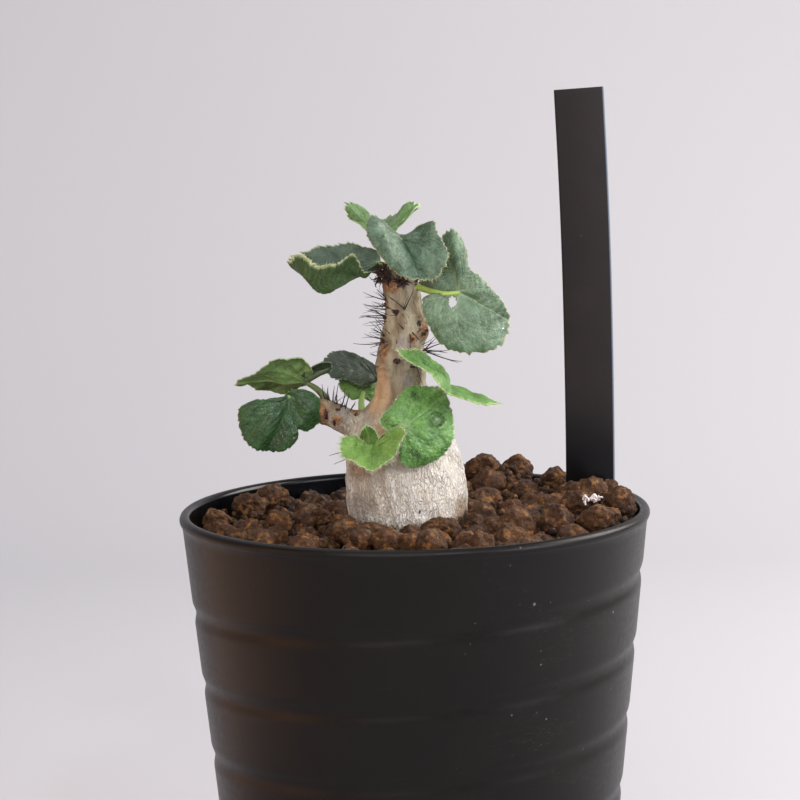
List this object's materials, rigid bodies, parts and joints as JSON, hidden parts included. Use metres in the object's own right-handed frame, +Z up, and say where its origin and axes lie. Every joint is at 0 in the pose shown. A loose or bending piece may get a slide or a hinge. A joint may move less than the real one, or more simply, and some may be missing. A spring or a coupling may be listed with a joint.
{
  "type": "potted caudex plant",
  "caption": "Small caudex plant with a swollen pale trunk, a side branch and rounded wavy leaves, in granular soil in a round ribbed plastic pot with a blank plant label.",
  "frame": {"origin": "centre of the pot's underside, on the table, under the middle of the rim", "axes": "+Z up along the pot's axis, +X to the label's side, the front faces -Y"},
  "size_m": [0.09, 0.09, 0.1692],
  "materials": {
    "pot_plastic": "satin near-black moulded plastic with fine dust and scratches",
    "soil": "matte crumbly fired clay granules",
    "bark": "matte pale bark with fine vertical wrinkles, leaf scars and dark bristles",
    "label_plastic": "satin dark brown-black plastic, bare",
    "leaf_mature": "satin living leaf, grey-green with pale veins and fine hairs",
    "leaf_dark": "satin living leaf, deep green with water drops",
    "leaf_young": "satin living leaf, bright yellow-green with pale hairy margins"
  },
  "bodies": {
    "root": {"pot": "pot_plastic", "soil": "soil", "plant_body": "bark", "plant_label": "label_plastic", "leaf_right": "leaf_mature", "leaf_top_front": "leaf_mature", "leaf_top_left": "leaf_dark", "leaf_top_back": "leaf_young", "leaf_left_low": "leaf_dark", "leaf_left_high": "leaf_mature", "leaf_middle_back": "leaf_mature", "leaf_small_back": "leaf_young", "leaf_right_edge": "leaf_young", "leaf_front_large": "leaf_mature", "leaf_front_young": "leaf_young", "leaf_front_bud": "leaf_young"}
  },
  "joints": []
}
